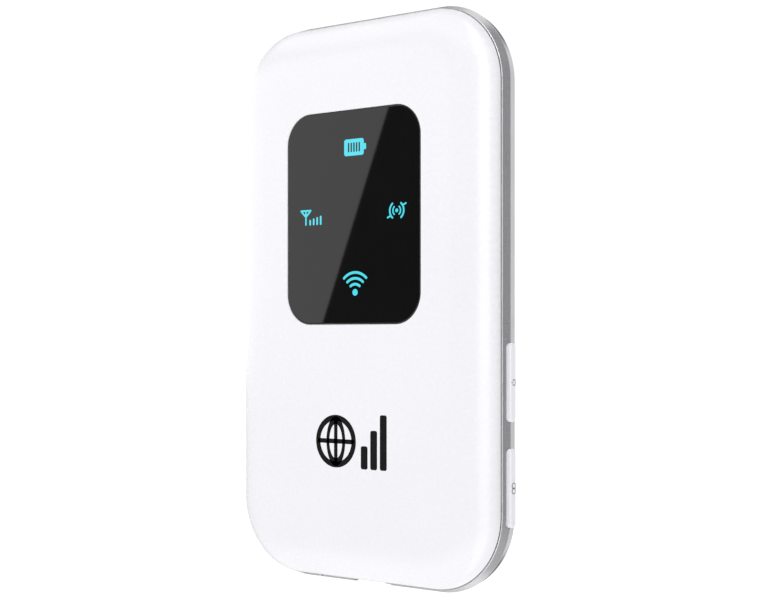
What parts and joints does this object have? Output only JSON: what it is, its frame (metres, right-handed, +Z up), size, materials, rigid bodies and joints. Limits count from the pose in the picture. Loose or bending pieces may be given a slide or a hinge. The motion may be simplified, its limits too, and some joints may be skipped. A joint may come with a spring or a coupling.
{
  "type": "mobile hotspot",
  "caption": "Pocket-size upright mobile hotspot with pillow-edged white shells, a silver mid frame, a dark status window, side buttons and a lift-off battery cover.",
  "frame": {"origin": "centre of the flat back face of the battery cover", "axes": "+Z up along the length of the upright case, +Y out of the back face, so the window faces -Y; the two buttons are on the +X side"},
  "size_m": [0.0581, 0.013, 0.0984],
  "materials": {
    "white_shell": "glossy moulded",
    "silver_frame": "satin silver",
    "white_button": "glossy moulded",
    "smoked_window": "high gloss",
    "dark_film": "thin film",
    "white_inner_plastic": "moulded",
    "milky_diffuser": "translucent",
    "lamp": "encapsulated",
    "chassis_plastic": "moulded",
    "circuit_board": "solder mask",
    "chip_package": "moulded epoxy",
    "shield_metal": "rolled tin plate",
    "port_metal": "pressed",
    "black_plastic": "moulded",
    "gold_contact": "plated",
    "thermal_silicone": "soft pad",
    "ceramic": "fired",
    "battery_wrap": "wrapped metal can",
    "label_paper": "blank label",
    "foam": "closed cell",
    "copper_strip": "etched foil",
    "screw_steel": "zinc plated"
  },
  "bodies": {
    "case": {"front_cover": "white_shell", "middle_frame": "silver_frame", "display_window": "smoked_window", "window_adhesive": "dark_film", "icon_film": "dark_film", "light_shroud": "white_inner_plastic", "icon_diffusers": "milky_diffuser", "status_leds": "lamp", "rear_housing": "chassis_plastic", "main_board": "circuit_board", "modem_chip": "chip_package", "memory_chip": "chip_package", "power_chip": "chip_package", "transceiver_chip": "chip_package", "power_amplifiers": "chip_package", "wifi_chip": "chip_package", "baseband_shield": "shield_metal", "rf_shield": "shield_metal", "wifi_shield": "shield_metal", "thermal_pad": "thermal_silicone", "crystal_oscillators": "shield_metal", "power_inductors": "chip_package", "board_capacitors": "ceramic", "usb_shell": "port_metal", "usb_tongue": "black_plastic", "usb_contacts": "gold_contact", "power_switch": "black_plastic", "pairing_switch": "black_plastic", "reset_switch": "black_plastic", "sim_socket": "port_metal", "sim_contacts": "gold_contact", "battery_connector": "black_plastic", "battery_springs": "gold_contact", "rating_label": "label_paper", "case_screws": "screw_steel", "board_screws": "screw_steel", "main_antenna": "copper_strip", "diversity_antenna": "copper_strip", "wifi_antenna": "copper_strip", "antenna_springs": "gold_contact"},
    "power_button": {"power_button": "white_button"},
    "power_plunger": {"power_plunger": "white_inner_plastic"},
    "pairing_button": {"pairing_button": "white_button"},
    "pairing_plunger": {"pairing_plunger": "white_inner_plastic"},
    "reset_plunger": {"reset_plunger": "white_inner_plastic"},
    "battery_cover": {"battery_cover": "white_shell", "cover_foam": "foam"},
    "battery": {"battery_cell": "battery_wrap", "battery_end_cap": "black_plastic", "battery_contacts": "gold_contact", "battery_label": "label_paper"}
  },
  "joints": [
    {"name": "power_button_press", "type": "slide", "parent": "case", "child": "power_button", "axis": [-1, 0, 0], "range_m": [0, 0.0003]},
    {"name": "power_plunger_press", "type": "slide", "parent": "case", "child": "power_plunger", "axis": [-1, 0, 0], "range_m": [0, 0.0003]},
    {"name": "pairing_button_press", "type": "slide", "parent": "case", "child": "pairing_button", "axis": [-1, 0, 0], "range_m": [0, 0.0003]},
    {"name": "pairing_plunger_press", "type": "slide", "parent": "case", "child": "pairing_plunger", "axis": [-1, 0, 0], "range_m": [0, 0.0003]},
    {"name": "reset_press", "type": "slide", "parent": "case", "child": "reset_plunger", "axis": [0, 0, 1], "range_m": [0, 0.00025]},
    {"name": "battery_cover_lift", "type": "slide", "parent": "case", "child": "battery_cover", "axis": [0, 1, 0], "range_m": [0, 0.04]},
    {"name": "battery_lift", "type": "slide", "parent": "case", "child": "battery", "axis": [0, 1, 0], "range_m": [0, 0.02]}
  ],
  "couplings": [
    {"joint": "power_plunger_press", "follows": "power_button_press", "ratio": 1},
    {"joint": "pairing_plunger_press", "follows": "pairing_button_press", "ratio": 1},
    {"joint": "battery_lift", "follows": "battery_cover_lift", "ratio": 0.5}
  ]
}
